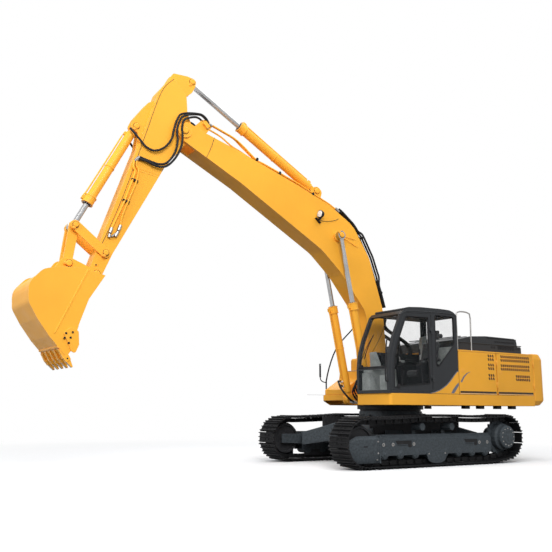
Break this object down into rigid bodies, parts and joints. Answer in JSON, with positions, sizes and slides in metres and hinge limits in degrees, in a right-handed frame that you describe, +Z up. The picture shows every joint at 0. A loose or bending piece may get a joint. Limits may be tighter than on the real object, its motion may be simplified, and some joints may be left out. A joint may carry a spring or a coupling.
{
  "type": "crawler excavator",
  "caption": "Tracked excavator with a swinging upper body, glazed cab, boom, arm and toothed bucket worked by hydraulic cylinders.",
  "frame": {"origin": "on the ground, under the middle of the part's outer box", "axes": "+X the way the cab and boom face, +Y to the operator's left, +Z up"},
  "size_m": [11.929, 3.19, 7.7439],
  "materials": {
    "grey": "satin grey paint",
    "shoe": "worn dark steel",
    "yellow": "semi-gloss golden-yellow paint",
    "steel": "bare worn steel",
    "dark": "satin near-black paint",
    "charcoal": "satin charcoal paint",
    "glass": "lightly tinted",
    "seat": "woven dark cloth",
    "chrome": "polished"
  },
  "bodies": {
    "undercarriage": {"carbody": "grey", "track_frame_left": "grey", "track_frame_right": "grey", "track_left": "shoe", "track_right": "shoe", "idler_left": "grey", "idler_right": "grey", "sprocket_left": "grey", "sprocket_right": "grey"},
    "house": {"revolving_frame": "yellow", "slewing_ring": "shoe", "deck_left": "yellow", "deck_right": "yellow", "counterweight": "yellow", "body_frame": "yellow", "engine_block": "steel", "valve_cover": "dark", "hydraulic_tank": "yellow", "fuel_tank": "yellow", "toolbox": "yellow", "mirror_rail": "dark", "handrail": "yellow", "cab": "charcoal", "windshield_upper": "glass", "windshield_lower": "glass", "rear_side_glass": "glass", "right_glass": "glass", "rear_glass": "glass", "seat_stand": "dark", "seat_cushion": "seat", "seat_backrest": "seat"},
    "cab_door": {"cab_door": "charcoal", "cab_door_glass": "glass"},
    "engine_hood": {"engine_hood": "dark"},
    "left_front_door": {"left_front_door": "yellow"},
    "left_rear_door": {"left_rear_door": "yellow"},
    "right_rear_door": {"right_rear_door": "yellow"},
    "boom": {"boom": "yellow"},
    "boom_cylinder_barrels": {"boom_cylinder_barrel_left": "yellow", "boom_cylinder_barrel_right": "yellow"},
    "boom_cylinder_rods": {"boom_cylinder_rod_left": "chrome", "boom_cylinder_rod_right": "chrome"},
    "arm_cylinder_barrel": {"arm_cylinder_barrel": "yellow"},
    "arm_cylinder_rod": {"arm_cylinder_rod": "chrome"},
    "arm": {"arm": "yellow"},
    "bucket_cylinder_barrel": {"bucket_cylinder_barrel": "yellow"},
    "bucket_cylinder_rod": {"bucket_cylinder_rod": "chrome"},
    "arm_link": {"arm_link_left": "yellow", "arm_link_right": "yellow"},
    "bucket_link": {"bucket_link": "yellow"},
    "bucket": {"bucket": "yellow"}
  },
  "joints": [
    {"name": "swing", "type": "hinge", "parent": "undercarriage", "child": "house", "pos_m": [-2.28445, 0, 1.2], "axis": [0, 0, 1], "continuous": true},
    {"name": "boom", "type": "hinge", "parent": "house", "child": "boom", "pos_m": [-1.74945, 0, 2.107], "axis": [0, -1, 0], "range_deg": [-88, 16]},
    {"name": "arm", "type": "hinge", "parent": "boom", "child": "arm", "pos_m": [3.11615, 0, 6.51886], "axis": [0, 1, 0], "range_deg": [-62, 40]},
    {"name": "bucket", "type": "hinge", "parent": "arm", "child": "bucket", "pos_m": [4.73614, 0, 3.47852], "axis": [0, 1, 0], "range_deg": [-45, 105]},
    {"name": "boom_cylinder_foot", "type": "hinge", "parent": "house", "child": "boom_cylinder_barrels", "pos_m": [-1.38445, 0, 1.36], "axis": [0, -1, 0], "range_deg": [-81.69, 15.67]},
    {"name": "boom_cylinder_stroke", "type": "slide", "parent": "boom_cylinder_barrels", "child": "boom_cylinder_rods", "axis": [0.2054, 0, 0.9787], "range_m": [-1.1111, 0.2061]},
    {"name": "arm_cylinder_foot", "type": "hinge", "parent": "boom", "child": "arm_cylinder_barrel", "pos_m": [-0.19387, 0, 5.88926], "axis": [0, 1, 0], "range_deg": [-4.1, 3]},
    {"name": "arm_cylinder_stroke", "type": "slide", "parent": "arm_cylinder_barrel", "child": "arm_cylinder_rod", "axis": [0.8704, 0, 0.4924], "range_m": [-1.1305, 0.7311]},
    {"name": "arm_link", "type": "hinge", "parent": "arm", "child": "arm_link", "pos_m": [4.57588, 0, 3.87923], "axis": [0, 1, 0], "range_deg": [-29.64, 67.83]},
    {"name": "bucket_link", "type": "hinge", "parent": "arm_link", "child": "bucket_link", "pos_m": [5.14606, 0, 4.31901], "axis": [0, 1, 0], "range_deg": [-30.82, 13.78]},
    {"name": "bucket_cylinder_foot", "type": "hinge", "parent": "arm", "child": "bucket_cylinder_barrel", "pos_m": [4.05654, 0, 6.44884], "axis": [0, 1, 0], "range_deg": [-2.17, 3.72]},
    {"name": "bucket_cylinder_stroke", "type": "slide", "parent": "bucket_cylinder_barrel", "child": "bucket_cylinder_rod", "axis": [0.4554, 0, -0.8903], "range_m": [-0.3287, 0.7602]},
    {"name": "cab_door", "type": "hinge", "parent": "house", "child": "cab_door", "pos_m": [-2.15445, 1.508, 0], "axis": [0, 0, 1], "range_deg": [0, 170]},
    {"name": "engine_hood", "type": "hinge", "parent": "house", "child": "engine_hood", "pos_m": [-3.23445, 0, 2.433], "axis": [0, 1, 0], "range_deg": [0, 65]},
    {"name": "left_front_door", "type": "hinge", "parent": "house", "child": "left_front_door", "pos_m": [-4.15945, 1.504, 0], "axis": [0, 0, 1], "range_deg": [0, 100]},
    {"name": "left_rear_door", "type": "hinge", "parent": "house", "child": "left_rear_door", "pos_m": [-5.43445, 1.504, 0], "axis": [0, 0, 1], "range_deg": [0, 100]},
    {"name": "right_rear_door", "type": "hinge", "parent": "house", "child": "right_rear_door", "pos_m": [-5.43445, -1.504, 0], "axis": [0, 0, -1], "range_deg": [0, 100]}
  ],
  "couplings": [
    {"joint": "boom_cylinder_foot", "follows": "boom", "ratio": 0.9169},
    {"joint": "boom_cylinder_stroke", "follows": "boom", "m_per_rad": 0.7202},
    {"joint": "arm_cylinder_foot", "follows": "arm", "ratio": 0.05},
    {"joint": "arm_cylinder_stroke", "follows": "arm", "m_per_rad": 1.0401},
    {"joint": "arm_link", "follows": "bucket", "ratio": 0.6365},
    {"joint": "bucket_link", "follows": "bucket", "ratio": -0.284},
    {"joint": "bucket_cylinder_foot", "follows": "bucket", "ratio": 0.0259},
    {"joint": "bucket_cylinder_stroke", "follows": "bucket", "m_per_rad": 0.4121}
  ]
}
